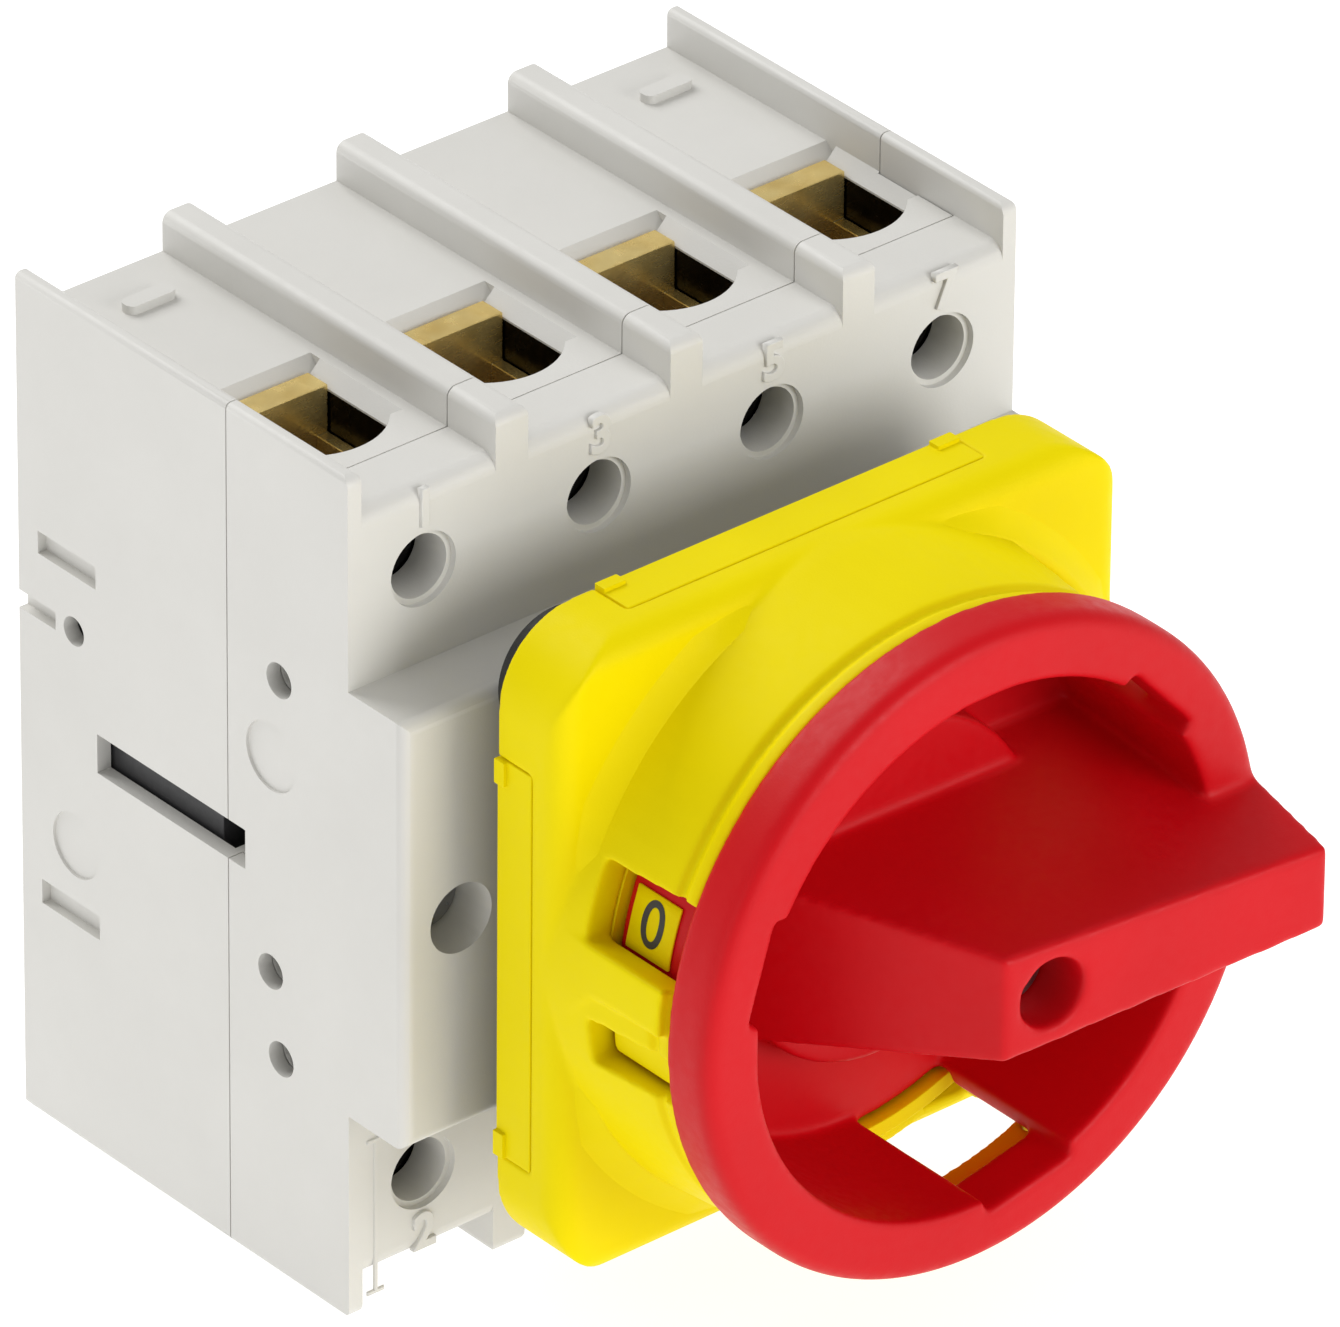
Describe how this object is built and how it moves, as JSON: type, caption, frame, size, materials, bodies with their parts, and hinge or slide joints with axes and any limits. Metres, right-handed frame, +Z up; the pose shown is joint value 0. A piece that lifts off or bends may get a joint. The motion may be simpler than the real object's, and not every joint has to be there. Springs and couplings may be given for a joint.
{
  "type": "rotary isolator switch",
  "caption": "Rotary isolator switch with grey terminal body, yellow cover plate and red padlockable handle on a turning grip.",
  "frame": {"origin": "on the handle's axis, in the plane of the flat rear face", "axes": "+Y out of the rear face, so the handle faces -Y; +Z up with the line terminals on top; +X right seen from the front"},
  "size_m": [0.0794, 0.102, 0.09],
  "materials": {
    "light_grey_plastic": "fine matt moulded thermoplastic",
    "yellow_plastic": "fine matt moulded thermoplastic",
    "red_plastic": "fine matt moulded thermoplastic",
    "black_rubber": "matt",
    "dark_plastic": "matt",
    "natural_plastic": "satin",
    "brass": "stamped and bright",
    "copper": "silver-plated copper, satin",
    "steel": "zinc plated"
  },
  "bodies": {
    "switch_body": {"rear_housing": "light_grey_plastic", "front_housing": "light_grey_plastic", "block_screw_left": "steel", "block_screw_right": "steel", "line_contact_1": "copper", "line_contact_2": "copper", "line_contact_3": "copper", "line_contact_4": "copper", "load_contact_1": "copper", "load_contact_2": "copper", "load_contact_3": "copper", "load_contact_4": "copper", "seal_frame": "black_rubber", "cover_plate": "yellow_plastic", "collar_seal": "black_rubber", "guide_ring": "yellow_plastic", "label_strip_top": "yellow_plastic", "label_strip_right": "yellow_plastic", "label_strip_bottom": "yellow_plastic", "label_strip_left": "yellow_plastic", "cover_screw_1": "steel", "cover_screw_2": "steel", "cover_screw_3": "steel", "cover_screw_4": "steel", "detent_spring_top": "steel", "detent_spring_bottom": "steel"},
    "handle_body": {"handle": "red_plastic", "handle_screw": "steel", "off_label": "yellow_plastic", "on_label": "yellow_plastic", "drive_shaft": "steel", "rotor": "dark_plastic", "detent_wheel": "natural_plastic"},
    "carrier_body": {"contact_carrier": "dark_plastic", "bridge_1": "copper", "bridge_2": "copper", "bridge_3": "copper", "bridge_4": "copper", "bridge_spring_1": "steel", "bridge_spring_2": "steel", "bridge_spring_3": "steel", "bridge_spring_4": "steel"},
    "line_screw_1": {"line_screw_1": "steel"},
    "line_clamp_1": {"line_cage_1": "brass"},
    "line_screw_2": {"line_screw_2": "steel"},
    "line_clamp_2": {"line_cage_2": "brass"},
    "line_screw_3": {"line_screw_3": "steel"},
    "line_clamp_3": {"line_cage_3": "brass"},
    "line_screw_4": {"line_screw_4": "steel"},
    "line_clamp_4": {"line_cage_4": "brass"},
    "load_screw_1": {"load_screw_1": "steel"},
    "load_clamp_1": {"load_cage_1": "brass"},
    "load_screw_2": {"load_screw_2": "steel"},
    "load_clamp_2": {"load_cage_2": "brass"},
    "load_screw_3": {"load_screw_3": "steel"},
    "load_clamp_3": {"load_cage_3": "brass"},
    "load_screw_4": {"load_screw_4": "steel"},
    "load_clamp_4": {"load_cage_4": "brass"}
  },
  "joints": [
    {"name": "handle_turn", "type": "hinge", "parent": "switch_body", "child": "handle_body", "pos_m": [0, -0.06, 0], "axis": [0, 1, 0], "range_deg": [0, 90], "deforming": ["detent_spring_top", "detent_spring_bottom"]},
    {"name": "carrier_slide", "type": "slide", "parent": "switch_body", "child": "carrier_body", "axis": [1, 0, 0], "range_m": [0, 0.00604]},
    {"name": "line_screw_turn_1", "type": "hinge", "parent": "switch_body", "child": "line_screw_1", "pos_m": [-0.0309, -0.04, 0.03235], "axis": [0, 1, 0], "range_deg": [0, 1905]},
    {"name": "line_clamp_slide_1", "type": "slide", "parent": "switch_body", "child": "line_clamp_1", "axis": [0, -1, 0], "range_m": [0, 0.0042]},
    {"name": "line_screw_turn_2", "type": "hinge", "parent": "switch_body", "child": "line_screw_2", "pos_m": [-0.0103, -0.04, 0.03235], "axis": [0, 1, 0], "range_deg": [0, 1905]},
    {"name": "line_clamp_slide_2", "type": "slide", "parent": "switch_body", "child": "line_clamp_2", "axis": [0, -1, 0], "range_m": [0, 0.0042]},
    {"name": "line_screw_turn_3", "type": "hinge", "parent": "switch_body", "child": "line_screw_3", "pos_m": [0.0103, -0.04, 0.03235], "axis": [0, 1, 0], "range_deg": [0, 1905]},
    {"name": "line_clamp_slide_3", "type": "slide", "parent": "switch_body", "child": "line_clamp_3", "axis": [0, -1, 0], "range_m": [0, 0.0042]},
    {"name": "line_screw_turn_4", "type": "hinge", "parent": "switch_body", "child": "line_screw_4", "pos_m": [0.0309, -0.04, 0.03235], "axis": [0, 1, 0], "range_deg": [0, 1905]},
    {"name": "line_clamp_slide_4", "type": "slide", "parent": "switch_body", "child": "line_clamp_4", "axis": [0, -1, 0], "range_m": [0, 0.0042]},
    {"name": "load_screw_turn_1", "type": "hinge", "parent": "switch_body", "child": "load_screw_1", "pos_m": [-0.0309, -0.04, -0.03235], "axis": [0, 1, 0], "range_deg": [0, 1905]},
    {"name": "load_clamp_slide_1", "type": "slide", "parent": "switch_body", "child": "load_clamp_1", "axis": [0, -1, 0], "range_m": [0, 0.0042]},
    {"name": "load_screw_turn_2", "type": "hinge", "parent": "switch_body", "child": "load_screw_2", "pos_m": [-0.0103, -0.04, -0.03235], "axis": [0, 1, 0], "range_deg": [0, 1905]},
    {"name": "load_clamp_slide_2", "type": "slide", "parent": "switch_body", "child": "load_clamp_2", "axis": [0, -1, 0], "range_m": [0, 0.0042]},
    {"name": "load_screw_turn_3", "type": "hinge", "parent": "switch_body", "child": "load_screw_3", "pos_m": [0.0103, -0.04, -0.03235], "axis": [0, 1, 0], "range_deg": [0, 1905]},
    {"name": "load_clamp_slide_3", "type": "slide", "parent": "switch_body", "child": "load_clamp_3", "axis": [0, -1, 0], "range_m": [0, 0.0042]},
    {"name": "load_screw_turn_4", "type": "hinge", "parent": "switch_body", "child": "load_screw_4", "pos_m": [0.0309, -0.04, -0.03235], "axis": [0, 1, 0], "range_deg": [0, 1905]},
    {"name": "load_clamp_slide_4", "type": "slide", "parent": "switch_body", "child": "load_clamp_4", "axis": [0, -1, 0], "range_m": [0, 0.0042]}
  ],
  "couplings": [
    {"joint": "carrier_slide", "follows": "handle_turn", "m_per_rad": 0.0037813},
    {"joint": "line_screw_turn_1", "follows": "line_clamp_slide_1", "rad_per_m": 7854},
    {"joint": "line_screw_turn_2", "follows": "line_clamp_slide_2", "rad_per_m": 7854},
    {"joint": "line_screw_turn_3", "follows": "line_clamp_slide_3", "rad_per_m": 7854},
    {"joint": "line_screw_turn_4", "follows": "line_clamp_slide_4", "rad_per_m": 7854},
    {"joint": "load_screw_turn_1", "follows": "load_clamp_slide_1", "rad_per_m": 7854},
    {"joint": "load_screw_turn_2", "follows": "load_clamp_slide_2", "rad_per_m": 7854},
    {"joint": "load_screw_turn_3", "follows": "load_clamp_slide_3", "rad_per_m": 7854},
    {"joint": "load_screw_turn_4", "follows": "load_clamp_slide_4", "rad_per_m": 7854}
  ]
}
